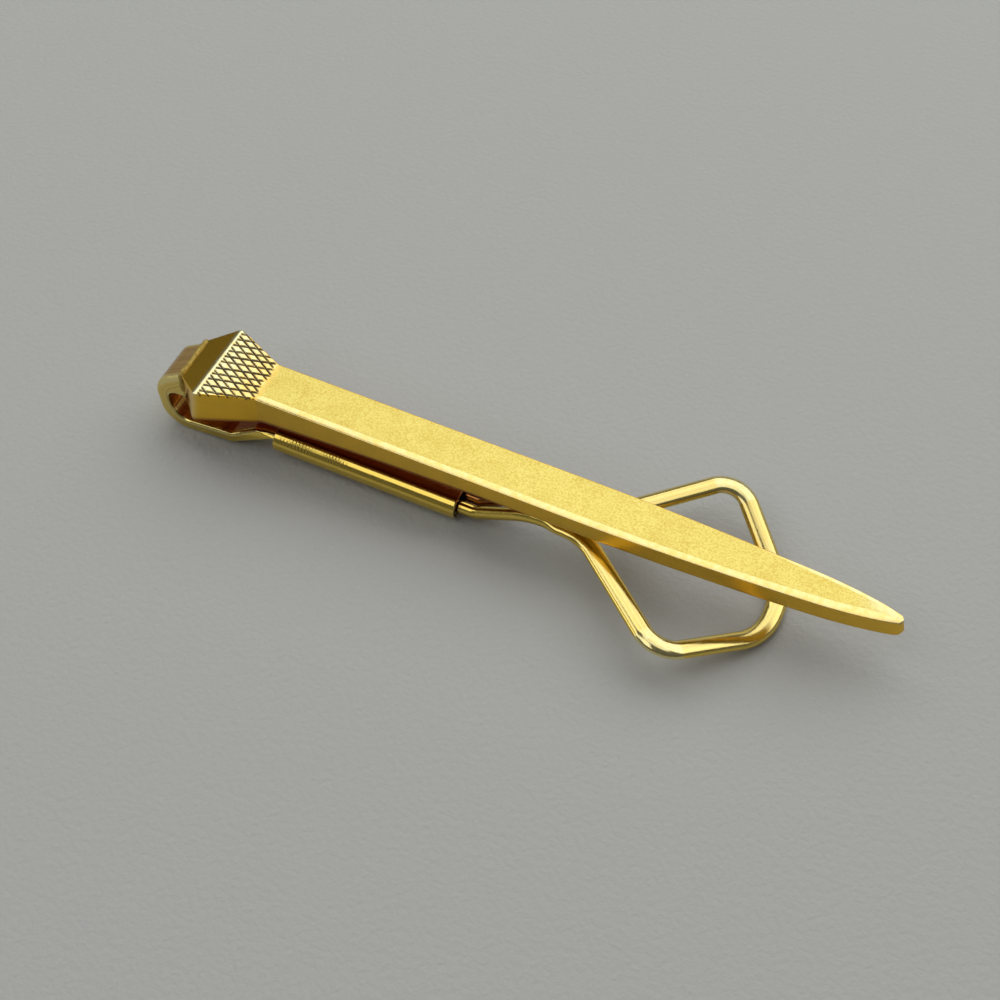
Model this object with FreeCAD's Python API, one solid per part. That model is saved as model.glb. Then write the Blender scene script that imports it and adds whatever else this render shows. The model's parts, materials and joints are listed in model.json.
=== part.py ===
import FreeCAD, Part
import math
import os

# Tie clip in the shape of a horseshoe nail, in millimetres.
# The pieces are drawn in the nail's own frame: X runs from the head to the point, Y across,
# Z up, with the zero at the line where the head meets the shank, on the nail's top face.
# At the end all of them are leaned together until the clip stands on its strip and its loop.

Vector = FreeCAD.Vector
ACROSS = Vector(0, 1, 0)
UP = Vector(0, 0, 1)

# Nail shank
shank_length = 55.3
shank_width = 4.2
shank_thick = 1.88
heel_thick = 3.1
heel_taper = 28.0
point_length = 27.3
shoulder_from_tip = 7.0
shoulder_width = 2.84
nose_width = 0.84
nose_length = 0.28
edge_round = 0.3

# Nail head
head_flare = 4.58
head_width = 8.0
ridge_rise = 0.34
ridge_lean = 0.5
ridge_chamfer = 0.18
head_taper = 2.45
head_end_drop = 0.41
head_end_height = 2.5

# Crossed grooves on the head
groove_angles = (-29.0, 17.0)
groove_pitch = 0.69
groove_width = 0.24
groove_depth = 0.13
groove_margin = 0.12

# Solder between the head and the strip
seam_thick = 0.08
seam_bead = 0.1

# Spring strip: a bend behind the head and a leg under the nail
strip_width = 4.35
root_top_drop = 0.22
root_slope = 33.0
root_thick = 2.82
bend_reach = 3.09
bend_wall = 1.05
bend_lean = 0.45
bend_outer_radius = 2.6
bend_inner_radius = 1.2
heel_outer_radius = 2.4
heel_inner_radius = 1.6
leg_drop = 8.04
leg_rise = 0.66
leg_thick = 1.15
kink_setback = 3.0
kink_radius = 0.6
ramp_length = 2.0
ramp_radius = 0.8

# Tongue of the strip inside the sleeve
tongue_width = 2.35
tongue_thick = 0.28
tongue_lift = 0.17
tongue_length = 5.0

# Sleeve of rolled sheet round the tongue and the wire's ends
sleeve_start = 1.0
sleeve_length = 17.2
sleeve_width = 4.12
sleeve_wall = 0.58
sleeve_seam = 0.3
sleeve_play = 0.01
sleeve_underside = 6.96

# Spring wire: two round legs and a flattened loop
wire_diameter = 1.12
wire_end_inset = 5.6
leg_exit = 1.5
leg_exit_radius = 1.8
leg_climb = 4.9
leg_climb_radius = 6.0
waist_gap = 0.86
waist_length = 4.7
waist_radius = 5.0
flat_width = 1.65
flat_thick = 0.95
flatten_start = 3.6
flatten_run = 1.6
loop_length = 16.08
loop_corner = 9.49
loop_corner_rise = 0.83
loop_width = 18.44
loop_corner_radius = 2.3
loop_end_width = 4.74
loop_end_drop = 2.3
loop_end_radius = 5.0

# Slack for picking edges and for sewing faces
pick_slack = 0.03
sew_slack = 0.001

# Derived places
shank_half = shank_width / 2
point_start = shank_length - point_length
strip_half = strip_width / 2
head_half = head_width / 2
ridge_x = -head_flare
head_end_x = ridge_x - head_taper
root_x = head_end_x - seam_thick
bend_x = root_x - bend_reach
sleeve_height = 2 * (sleeve_wall + sleeve_play) + wire_diameter
sleeve_bottom = -sleeve_underside
leg_z = sleeve_bottom + sleeve_height / 2
tongue_floor = leg_z + tongue_lift
sleeve_end = sleeve_start + sleeve_length
waist_z = -shank_thick - waist_gap - wire_diameter / 2


def flat(x, z):
    """Point of a side outline."""
    return Vector(x, 0, z)


def rounded_edges(corners, radii):
    """Straight runs through the corners, joined by tangent arcs of the given radii."""
    edges = []
    last = corners[0]
    for before, corner, after, radius in zip(corners, corners[1:], corners[2:], radii):
        back = (before - corner).normalize()
        ahead = (after - corner).normalize()
        half = back.getAngle(ahead) / 2
        reach = radius / math.tan(half)
        inward = (back + ahead).normalize()
        crown = corner + inward * (radius / math.sin(half) - radius)
        start = corner + back * reach
        end = corner + ahead * reach
        edges.append(Part.LineSegment(last, start).toShape())
        edges.append(Part.Arc(start, crown, end).toShape())
        last = end
    edges.append(Part.LineSegment(last, corners[-1]).toShape())
    return edges


def tangent_arc(start, heading, end):
    """Arc that leaves start along heading and reaches end, with its heading there."""
    chord = end - start
    along = Vector(chord).normalize()
    turn = heading.getAngle(along)
    outward = (heading - along * heading.dot(along)).normalize()
    crown = start + chord / 2 + outward * (chord.Length / 2 * math.tan(turn / 2))
    leaving = along * (2 * heading.dot(along)) - heading
    return Part.Arc(start, crown, end).toShape(), leaving


def polygon_face(points):
    """Flat face on a closed ring of points."""
    return Part.Face(Part.makePolygon(points + points[:1]))


def mirrored(points):
    """The points of a half outline, carried back along the other side."""
    return points + [Vector(p.x, -p.y, p.z) for p in reversed(points)]


def make_shank():
    """Shank with straight sides, a drawn point and an underside that rises from the head."""
    tip_side = Vector(shank_length - nose_length, nose_width / 2, 0)
    shoulder = Vector(shank_length - shoulder_from_tip, shoulder_width / 2, 0)
    side_end = Vector(point_start, shank_half, 0)
    draw, heading = tangent_arc(side_end, Vector(1, 0, 0), shoulder)
    drop = tangent_arc(shoulder, heading, tip_side)[0]
    straight = Part.LineSegment(Vector(0, shank_half, 0), side_end).toShape()
    half = [straight, draw, drop]
    flip = [edge.mirror(Vector(0, 0, 0), ACROSS) for edge in half]
    far_side = Vector(tip_side.x, -tip_side.y, 0)
    nose = Part.Arc(tip_side, Vector(shank_length, 0, 0), far_side).toShape()
    back = Part.LineSegment(Vector(0, -shank_half, 0), Vector(0, shank_half, 0)).toShape()
    plan = Part.Face(Part.Wire(half + [nose] + flip[::-1] + [back]))
    block = plan.extrude(UP * -heel_thick)
    under = tangent_arc(flat(heel_taper, -shank_thick), Vector(-1, 0, 0), flat(0, -heel_thick))[0]
    around = [flat(0, -heel_thick), flat(0, 0), flat(shank_length, 0)]
    around += [flat(shank_length, -shank_thick), flat(heel_taper, -shank_thick)]
    side = Part.Face(Part.Wire([Part.makePolygon(around), under]))
    side.translate(ACROSS * -shank_half)
    shank = block.common(side.extrude(ACROSS * shank_width))
    top = [edge for edge in shank.Edges if edge.BoundBox.ZMin > -pick_slack]
    rim = [edge for edge in top if edge.BoundBox.XMax > pick_slack]
    return shank.makeFillet(edge_round, rim)


def make_head():
    """Head that flares to a ridge and then tapers, with facets, to the end that the strip joins."""
    flare = (head_half - shank_half) / head_flare
    foot_x = ridge_x - ridge_lean
    foot_half = shank_half - flare * foot_x
    end_top = -head_end_drop
    end_low = end_top - head_end_height
    ring = []
    for side in (1, -1):
        ring.append({
            "neck_top": Vector(0, side * shank_half, 0),
            "neck_low": Vector(0, side * shank_half, -heel_thick),
            "ridge_top": Vector(ridge_x, side * head_half, ridge_rise),
            "ridge_low": Vector(foot_x, side * foot_half, -heel_thick),
            "end_top": Vector(head_end_x, side * strip_half, end_top),
            "end_low": Vector(head_end_x, side * strip_half, end_low),
        })
    left, right = ring
    faces = []
    around = ("neck_top", "ridge_top", "end_top", "end_low", "ridge_low", "neck_low", "neck_top")
    for here, there in zip(around, around[1:]):
        faces.append(polygon_face([left[here], left[there], right[there], right[here]]))
    cheek = ("neck_top", "ridge_top", "ridge_low", "neck_low")
    upper_facet = ("ridge_top", "end_top", "ridge_low")
    lower_facet = ("end_top", "end_low", "ridge_low")
    for corner in ring:
        for outline in (cheek, upper_facet, lower_facet):
            faces.append(polygon_face([corner[name] for name in outline]))
    head = Part.Solid(Part.makeShell(faces))
    ridge = [edge for edge in head.Edges if edge.BoundBox.ZMin > ridge_rise / 2]
    return head.makeChamfer(ridge_chamfer, ridge)


def make_grooves():
    """V grooves in two crossing sets that lie on the head's rising top face."""
    rise = math.degrees(math.atan2(ridge_rise, head_flare))
    half_width = groove_width / 2
    notch = [Vector(0, -half_width, 0), Vector(0, half_width, 0), Vector(0, 0, -groove_depth)]
    reach = head_flare + head_width
    bars = []
    for angle in groove_angles:
        slant = head_flare * abs(math.tan(math.radians(angle)))
        count = math.ceil((head_half + slant) / groove_pitch)
        for step in range(-count, count + 1):
            bar = polygon_face(notch).extrude(Vector(2 * reach, 0, 0))
            bar.translate(Vector(-reach, 0, 0))
            bar.rotate(Vector(0, 0, 0), UP, angle)
            bar.translate(Vector(-head_flare / 2, step * groove_pitch, 0))
            bars.append(bar)
    window = Part.makeBox(head_flare - ridge_chamfer - groove_margin, 2 * reach, 2 * groove_depth,
                          Vector(-head_flare + ridge_chamfer, -reach, -groove_depth * 2))
    sets = [bar.common(window) for bar in bars]
    grooves = Part.makeCompound(sets)
    grooves.rotate(Vector(0, 0, 0), ACROSS, rise)
    return grooves


def make_nail_bar():
    """The nail: shank and head in one, with its grooved face."""
    return make_shank().fuse(make_head()).removeSplitter().cut(make_grooves())


def make_solder_seam():
    """Thin film of solder between the head's end and the strip's root, with a small bead round it."""
    low = max(-head_end_drop - head_end_height, -head_end_drop - root_top_drop - root_thick)
    top = -head_end_drop - root_top_drop
    corner = Vector(root_x, -strip_half, low)
    return Part.makeBox(seam_thick, strip_width, top - low + seam_bead, corner)


def strip_corners():
    """Corners of the strip's side outline: outside of the bend, then inside."""
    slope = math.tan(math.radians(root_slope))
    root_top = -head_end_drop - root_top_drop
    root_low = root_top - root_thick
    leg_low = -leg_drop
    kink_low = flat(-kink_setback, leg_low + leg_rise)
    tongue_end = sleeve_start + tongue_length
    outer = [
        flat(root_x, root_top),
        flat(bend_x, root_top - bend_reach * slope),
        flat(bend_x + bend_lean, leg_low),
        kink_low,
        flat(sleeve_start, tongue_floor),
        flat(tongue_end, tongue_floor),
    ]
    inner = [
        flat(root_x, root_low),
        flat(bend_x + bend_wall, root_low),
        flat(bend_x + bend_lean + bend_wall, leg_low + leg_thick),
        kink_low + UP * leg_thick,
        flat(ramp_length - kink_setback, tongue_floor + tongue_thick),
        flat(tongue_end, tongue_floor + tongue_thick),
    ]
    return outer, inner


def make_back_strip():
    """Strip bent round behind the head, kinked under it and narrowed to a tongue."""
    outer, inner = strip_corners()
    outside = rounded_edges(outer, (bend_outer_radius, heel_outer_radius, kink_radius, ramp_radius))
    inside = rounded_edges(inner, (bend_inner_radius, heel_inner_radius, kink_radius, ramp_radius))
    tip = Part.LineSegment(outer[-1], inner[-1]).toShape()
    root = Part.LineSegment(inner[0], outer[0]).toShape()
    side = Part.Face(Part.Wire(outside + [tip] + inside[::-1] + [root]))
    side.translate(ACROSS * -strip_half)
    band = side.extrude(ACROSS * strip_width)
    tongue_half = tongue_width / 2
    left = [Vector(bend_x - bend_wall, strip_half, 0), Vector(-kink_setback, strip_half, 0)]
    left += [Vector(sleeve_start, tongue_half, 0), Vector(sleeve_end, tongue_half, 0)]
    plan = polygon_face(mirrored(left))
    plan.translate(UP * -2 * leg_drop)
    return band.common(plan.extrude(UP * 2 * leg_drop))


def obround(width, height):
    """Upright outline with flat top and bottom and round sides, centred on the X axis."""
    radius = height / 2
    run = width / 2 - radius
    top_left = Vector(0, -run, radius)
    top_right = Vector(0, run, radius)
    low_right = Vector(0, run, -radius)
    low_left = Vector(0, -run, -radius)
    edges = [Part.LineSegment(top_left, top_right).toShape()]
    edges.append(Part.Arc(top_right, Vector(0, run + radius, 0), low_right).toShape())
    edges.append(Part.LineSegment(low_right, low_left).toShape())
    edges.append(Part.Arc(low_left, Vector(0, -run - radius, 0), top_left).toShape())
    return Part.Wire(edges)


def make_crimp_sleeve():
    """Sheet rolled into a flat tube, with its seam along the middle of the underside."""
    outside = Part.Face(obround(sleeve_width, sleeve_height))
    bore = Part.Face(obround(sleeve_width - 2 * sleeve_wall, sleeve_height - 2 * sleeve_wall))
    tube = outside.cut(bore).extrude(Vector(sleeve_length, 0, 0))
    corner = Vector(0, -sleeve_seam / 2, -sleeve_height / 2)
    tube = tube.cut(Part.makeBox(sleeve_length, sleeve_seam, sleeve_height / 2, corner))
    tube.translate(Vector(sleeve_start, 0, sleeve_bottom + sleeve_height / 2))
    return tube


def wire_corners():
    """Corners of the wire's near half, from its end in the sleeve to the loop's end."""
    leg_y = sleeve_width / 2 - sleeve_height / 2
    climb_x = sleeve_end + leg_exit
    waist_x = climb_x + leg_climb
    fork_x = waist_x + waist_length
    return [
        Vector(sleeve_start + wire_end_inset, -leg_y, leg_z),
        Vector(climb_x, -leg_y, leg_z),
        Vector(waist_x, -leg_y, waist_z),
        Vector(fork_x, -leg_y, waist_z),
        Vector(fork_x + loop_corner, -loop_width / 2, waist_z + loop_corner_rise),
        Vector(fork_x + loop_length, -loop_end_width / 2, waist_z - loop_end_drop),
    ]


def round_section():
    """Circle of the wire in four quarter arcs, so that it can turn into the flat section."""
    radius = wire_diameter / 2
    slant = radius / math.sqrt(2)
    top = [Vector(0, -slant, slant), Vector(0, slant, slant)]
    low = [Vector(0, slant, -slant), Vector(0, -slant, -slant)]
    starts = top + low
    crowns = [Vector(0, 0, radius), Vector(0, radius, 0), Vector(0, 0, -radius), Vector(0, -radius, 0)]
    ends = starts[1:] + starts[:1]
    return Part.Wire([Part.Arc(*points).toShape() for points in zip(starts, crowns, ends)])


def at(section, place):
    """Copy of an upright section moved to a place."""
    moved = section.copy()
    moved.translate(place)
    return moved


def without_ends(run, stations):
    """Faces of a run of wire, less its flat ends at the given places along X."""
    kept = []
    for face in run.Faces:
        upright = face.BoundBox.XLength < sew_slack
        if not (upright and any(abs(face.CenterOfMass.x - x) < sew_slack for x in stations)):
            kept.append(face)
    return kept


def make_wire_loop():
    """One wire: two round legs that climb to the nail, then a flattened loop bent down at its end."""
    start, climb, waist, fork, corner, end = wire_corners()
    round_end = fork - Vector(flatten_start, 0, 0)
    flat_start = round_end + Vector(flatten_run, 0, 0)
    leg_run = rounded_edges([start, climb, waist, round_end], (leg_exit_radius, leg_climb_radius))
    leg = Part.Wire(leg_run).makePipeShell([at(round_section(), start)], True, False)
    flat_section = at(obround(flat_width, flat_thick), flat_start)
    flattening = Part.makeLoft([at(round_section(), round_end), flat_section], True, True)
    half = [flat_start, fork, corner, end]
    radii = (waist_radius, loop_corner_radius, loop_end_radius)
    loop_run = rounded_edges(mirrored(half), radii + radii[::-1])
    sweep = Part.BRepOffsetAPI.MakePipeShell(Part.Wire(loop_run))
    sweep.setBiNormalMode(UP)
    sweep.add(flat_section)
    sweep.build()
    sweep.makeSolid()
    joints = (round_end.x, flat_start.x)
    near = without_ends(leg, joints) + without_ends(flattening, joints)
    far = [face.mirror(Vector(0, 0, 0), ACROSS) for face in near]
    skin = Part.makeShell(near + without_ends(sweep.shape(), joints) + far)
    skin.sewShape()
    return Part.makeSolid(skin)


def standing_lean():
    """Angle that brings the bend's underside and the loop's end to one level."""
    outer = strip_corners()[0]
    heel = rounded_edges(outer[1:4], (heel_outer_radius,))[1].Curve.Center
    loop_end = wire_corners()[-1]
    foot = flat(loop_end.x + (flat_width - flat_thick) / 2, loop_end.z - flat_thick / 2)
    across = foot - heel
    return math.degrees(math.atan2(across.z, across.x) + math.asin(heel_outer_radius / across.Length))


def main():
    """Builds the pieces, stands them on the table together and writes one file for each."""
    pieces = {
        "nail_bar": make_nail_bar(),
        "solder_seam": make_solder_seam(),
        "back_strip": make_back_strip(),
        "crimp_sleeve": make_crimp_sleeve(),
        "wire_loop": make_wire_loop(),
    }
    lean = standing_lean()
    for piece in pieces.values():
        piece.rotate(Vector(0, 0, 0), ACROSS, lean)
    whole = FreeCAD.BoundBox()
    for piece in pieces.values():
        whole.add(piece.optimalBoundingBox(False))
    shift = Vector(-whole.Center.x, -whole.Center.y, -whole.ZMin)
    os.makedirs("parts", exist_ok=True)
    for name, piece in pieces.items():
        piece.translate(shift)
        piece.exportStep(os.path.join("parts", name + ".step"))
        print(name, "solids", len(piece.Solids), "valid", piece.isValid(), "volume", piece.Volume)
    print("lean", lean, "shift", shift, "size", whole.XLength, whole.YLength, whole.ZLength)


main()
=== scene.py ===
import json
import math

import bmesh
import bpy
import numpy as np
from bpy.props import FloatProperty, FloatVectorProperty, PointerProperty
from mathutils import Matrix, Vector


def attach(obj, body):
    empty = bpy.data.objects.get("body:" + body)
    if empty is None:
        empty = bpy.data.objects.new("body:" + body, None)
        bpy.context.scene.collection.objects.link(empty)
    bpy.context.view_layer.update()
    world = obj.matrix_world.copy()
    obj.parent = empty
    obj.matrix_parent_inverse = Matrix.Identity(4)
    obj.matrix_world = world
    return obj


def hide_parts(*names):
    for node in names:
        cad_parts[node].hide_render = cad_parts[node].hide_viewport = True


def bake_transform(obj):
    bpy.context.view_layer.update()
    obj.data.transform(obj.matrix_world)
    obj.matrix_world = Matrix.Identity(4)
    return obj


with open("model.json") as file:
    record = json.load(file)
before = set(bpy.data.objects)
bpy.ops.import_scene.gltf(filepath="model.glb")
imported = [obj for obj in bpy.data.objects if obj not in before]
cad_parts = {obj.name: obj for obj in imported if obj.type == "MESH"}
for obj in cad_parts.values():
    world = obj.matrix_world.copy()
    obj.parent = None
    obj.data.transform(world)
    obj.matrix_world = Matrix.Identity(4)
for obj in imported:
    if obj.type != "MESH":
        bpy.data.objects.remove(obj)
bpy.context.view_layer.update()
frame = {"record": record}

bl_info = {
    "name": "Horseshoe nail tie clip",
    "version": (1, 0, 0),
    "blender": (4, 5, 0),
    "location": "View3D > Sidebar > Tie clip",
    "description": "Builds a gold-plated tie clip with a horseshoe nail for its bar, on its packed frame",
    "category": "Object",
}

MM = 0.001

# The pieces are worked out in the nail's own frame: along from the neck to the point, across,
# and up out of the flat front. The record's mount on that front says how the nail leans.
FACE = next(mount for mount in frame["record"]["mounts"] if mount["name"] == "front_face")
FACE_ALONG = 20 * MM
UP = np.array(FACE["axis"])
ACROSS = np.array((0.0, 1.0, 0.0))
ALONG = np.cross(ACROSS, UP)
NECK = np.array(FACE["pos_m"]) - FACE_ALONG * ALONG


def length(name, description, millimetres):
    """A length that the sidebar shows, given here in millimetres."""
    return FloatProperty(name=name, description=description, default=millimetres * MM, min=0, precision=5,
                         unit="LENGTH")


def tilt(name, description, degrees):
    """An angle that the sidebar shows, given here in degrees."""
    return FloatProperty(name=name, description=description, default=math.radians(degrees), subtype="ANGLE")


def linear(code):
    """Linear red, green and blue of an sRGB hex colour.

    A share c of 255 is c / 12.92 up to 0.04045, and ((c + 0.055) / 1.055) ^ 2.4 above it.
    """
    shares = np.array([int(code[i:i + 2], 16) for i in (1, 3, 5)]) / 255
    return tuple(np.where(shares <= 0.04045, shares / 12.92, ((shares + 0.055) / 1.055) ** 2.4))


def colour(name, description, code):
    """A colour that the sidebar shows, given here as an sRGB hex value."""
    return FloatVectorProperty(name=name, description=description, default=linear(code), subtype="COLOR",
                               min=0, max=1)


class NailSizes(bpy.types.PropertyGroup):
    """Sizes of the nail that makes the front of the clip."""

    shank_length: length("Shank length", "From the neck to the point", 55.28)
    shank_width: length("Shank width", "Across the flat front, up to where the point begins", 4.2)
    shank_thick: length("Shank thickness", "Of the front half of the shank", 1.88)
    heel_thick: length("Neck thickness", "Of the shank where the head begins", 3.1)
    heel_run: length("Heel run", "How far from the neck the underside stops rising", 28)
    point_start: length("Point start", "How far from the neck the sides begin to draw in", 28)
    shoulder_back: length("Shoulder", "How far behind the point the sides turn in faster", 7)
    shoulder_width: length("Shoulder width", "Width where the sides turn in faster", 2.84)
    nose_width: length("Nose width", "Width where the rounded end begins", 0.84)
    nose_length: length("Nose length", "Length of the rounded end", 0.28)
    nose_droop: length("Nose droop", "How far the flat front falls at the very point", 0.08)
    droop_run: length("Droop run", "How far behind the point the front begins to fall", 3)
    nose_setback: length("Nose setback", "How much earlier the front ends than the underside", 0.27)
    near_edge: length("Near edge width", "Reach of the near edge's bevel on to the front", 0.58)
    near_drop: length("Near edge drop", "Reach of the near edge's bevel down the side", 0.09)
    far_edge: length("Far edge", "Rounding of the far edge, up to the point", 0.1)
    point_edge: length("Point edge", "Width of the rubbed far edge along the point", 0.32)
    back_round: length("Back edge", "Rounding of the two long edges of the underside", 0.3)
    head_length: length("Head length", "From the neck to the ridge", 4.58)
    head_width: length("Head width", "Across the ridge", 8.0)
    ridge_rise: length("Ridge rise", "Height of the ridge above the flat front", 0.33)
    ridge_lean: length("Ridge lean", "How much further back the ridge lies at its foot", 0.5)
    ridge_round: length("Ridge rounding", "Radius worn on to the ridge", 0.4)
    head_round: length("Head edges", "Rounding of the head's long edges", 0.1)
    end_taper: length("End taper", "From the ridge to the end that the strip joins", 2.45)
    end_width: length("End width", "Width of that end", 4.35)
    end_drop: length("End drop", "How far that end lies below the flat front", 0.41)
    end_height: length("End height", "Height of that end", 2.5)
    groove_pitch: length("Groove pitch", "Spacing of the crossed grooves, across the head", 0.69)
    groove_width: length("Groove width", "Width of a groove at the surface", 0.2)
    groove_depth: length("Groove depth", "Depth of a groove", 0.13)


class ClipSizes(bpy.types.PropertyGroup):
    """Sizes of the strip, the sleeve and the wire behind the nail."""

    seam: length("Solder seam", "Thickness of the solder between nail and strip", 0.08)
    bead: length("Solder bead", "Radius of the bead of solder round the seam", 0.27)
    strip_width: length("Strip width", "Width of the strip round its bend", 4.34)
    strip_round: length("Strip edge", "Rounding of the strip's long edges", 0.28)
    root_drop: length("Root drop", "How far the strip's root lies below the head's end", 0.22)
    root_height: length("Root height", "Height of the strip's root on the head's end", 2.82)
    bend_reach: length("Bend reach", "How far the bend stands out behind the head's end", 3.08)
    bend_wall: length("Bend thickness", "Thickness of the strip behind the head", 1.05)
    bend_lean: length("Bend lean", "How much nearer the head the bend is at its foot", 0.45)
    bend_fall: tilt("Bend fall", "Slope of the strip from its root to the bend", 33)
    leg_low: length("Leg underside", "How far the leg's underside lies below the front", 8.04)
    leg_thick: length("Leg thickness", "Thickness of the strip under the head", 1.15)
    kink_back: length("Kink place", "How far behind the neck the leg turns up", 3)
    kink_rise: length("Kink rise", "How far the leg has risen where it turns up", 0.66)
    tongue_lift: length("Tongue lift", "How far the tongue lies above the sleeve's middle", 0.17)
    tongue_thick: length("Tongue thickness", "Thickness of the strip inside the sleeve", 0.28)
    tongue_width: length("Tongue width", "Width of the strip inside the sleeve", 2.35)
    tongue_length: length("Tongue length", "How far the strip reaches into the sleeve", 5.0)
    sleeve_start: length("Sleeve start", "Where the sleeve begins, from the neck", 1.0)
    sleeve_length: length("Sleeve length", "Length of the sleeve", 17.2)
    sleeve_width: length("Sleeve width", "Width of the flat tube", 4.12)
    sleeve_height: length("Sleeve height", "Height of the flat tube", 2.3)
    sleeve_wall: length("Sleeve wall", "Thickness of the rolled sheet", 0.58)
    sleeve_seam: length("Sleeve seam", "Gap where the sheet's two edges meet underneath", 0.3)
    sleeve_low: length("Sleeve underside", "How far the sleeve's underside lies below the front", 6.96)
    ripple_pitch: length("Ripple pitch", "Spacing of the crimping marks on the sleeve", 0.3)
    ripple_depth: length("Ripple depth", "Depth of the crimping marks on the sleeve", 0.038)
    sleeve_dents: length("Sleeve dents", "Depth of the shallow dents all over the sleeve", 0.014)
    wire: length("Wire", "Diameter of the wire where it is round", 1.12)
    wire_inset: length("Wire inset", "From the sleeve's start to the wire's hidden ends", 5.6)
    loop_wire_width: length("Loop wire width", "Width of the flattened wire of the loop", 1.64)
    loop_wire_thick: length("Loop wire thickness", "Thickness of the flattened wire of the loop", 0.95)
    waist_gap: length("Waist gap", "Space between the nail and the wire's waist", 0.86)
    climb_start: length("Climb start", "From the sleeve's end to where the wires begin to rise", 1.5)
    climb_run: length("Climb run", "Length along the nail over which the wires rise", 4.9)
    waist_run: length("Waist run", "Length along the nail of the level waist", 4.7)
    corner_reach: length("Corner reach", "From the fork to the loop's side corners, along the nail", 9.49)
    corner_side: length("Corner side", "From the nail's middle to a side corner", 9.22)
    corner_rise: length("Corner rise", "How far a side corner lies above the waist", 0.83)
    end_reach: length("End reach", "From the fork to the loop's far end, along the nail", 16.08)
    end_side: length("End side", "Half the width of the loop's far end", 2.37)
    end_fall: length("End fall", "How far the far end lies below the waist", 2.3)
    far_leg: length("Far leg", "How far from the nail's middle the far wire runs, under the nail", 0.45)


class Finishes(bpy.types.PropertyGroup):
    """Colours of the gold plate and of the board that the clip lies on."""

    # Painted highlight in part: the front's paler colour stands for how bright its lit satin looks.
    satin_gold_and_sheen: colour("Satin gold", "Reflected colour of the plate on the blasted front", "#dccc72")
    gold: colour("Polished gold", "Reflected colour of the plate where it is polished", "#f0be3a")
    clip_gold: colour("Clip gold", "Reflected colour of the plate on strip, sleeve and wire", "#ecce64")
    deep_gold: colour("Deep gold", "Colour of the plate in small pits and in drawing lines", "#c0a242")
    # Pale rubbed edges, and also painted highlights on the nail's near bevel, the loop wire's top and the
    # strip's shoulder.
    worn_and_sheen_gold: colour("Worn plate", "Colour of rubbed edges, where pale metal comes through", "#ebe6b4")
    # Painted shade: dark red-brown laid on faces that lie in shade under the nail and between the parts.
    tarnish: colour("Tarnish", "Colour of the plate where no polishing reached", "#883a28")
    solder: colour("Solder", "Colour of the plated solder", "#b89f54")
    # Dirt in the grooves and on the solder, and also the darker painted shade inside the sleeve and at its
    # mouth.
    dirt_and_painted_shade: colour("Groove dirt", "Colour of the old polish and dirt in the grooves", "#443612")
    board: colour("Board", "Colour of the plain board under the clip", "#b4b5b1")


def unit(vectors):
    """Vectors divided by their own lengths; one without length stays as it is."""
    return vectors / np.maximum(np.linalg.norm(vectors, axis=-1, keepdims=True), 1e-12)


def smooth(low, high, value):
    """Smooth step: 0 below low, 1 above high, and 3 t^2 - 2 t^3 between them."""
    t = np.clip((value - low) / (high - low), 0, 1)
    return t * t * (3 - 2 * t)


def stand(points):
    """Points of the nail's frame in the part's frame: neck + x along + y across + z up."""
    return NECK + points @ np.array((ALONG, ACROSS, UP))


def rounded_path(corners, radii, run_steps, arc_steps):
    """Line through the corners with every inner corner turned into an arc that touches both its runs.

    With a and b the directions back and ahead of a corner and h half the angle between them, the arc
    of radius r starts r / tan h before the corner, has its centre r / sin h along a + b, and turns by
    180 degrees - 2 h from there.
    """
    corners = np.asarray(corners, float)
    parts = []
    last = corners[0]
    turn_share = np.linspace(0, 1, arc_steps, endpoint=False)[:, None]
    for before, corner, after, radius, steps in zip(corners, corners[1:], corners[2:], radii, run_steps):
        back = unit(before - corner)
        ahead = unit(after - corner)
        half = math.acos(np.clip(back @ ahead, -1, 1)) / 2
        start = corner + back * radius / math.tan(half)
        centre = corner + unit(back + ahead) * radius / math.sin(half)
        angle = (math.pi - 2 * half) * turn_share
        parts.append(last + (start - last) * np.linspace(0, 1, steps, endpoint=False)[:, None])
        parts.append(centre + (start - centre) * np.cos(angle) - back * radius * np.sin(angle))
        last = corner + ahead * radius / math.tan(half)
    parts.append(last + (corners[-1] - last) * np.linspace(0, 1, run_steps[-1] + 1)[:, None])
    return np.concatenate(parts)


def mirrored_corners(upper, lower):
    """Four corners for each station: an upper and a lower line, and their mirror images across the nail."""
    other = np.array((1, -1, 1))
    return np.stack((upper, upper * other, lower * other, lower), axis=1)


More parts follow.
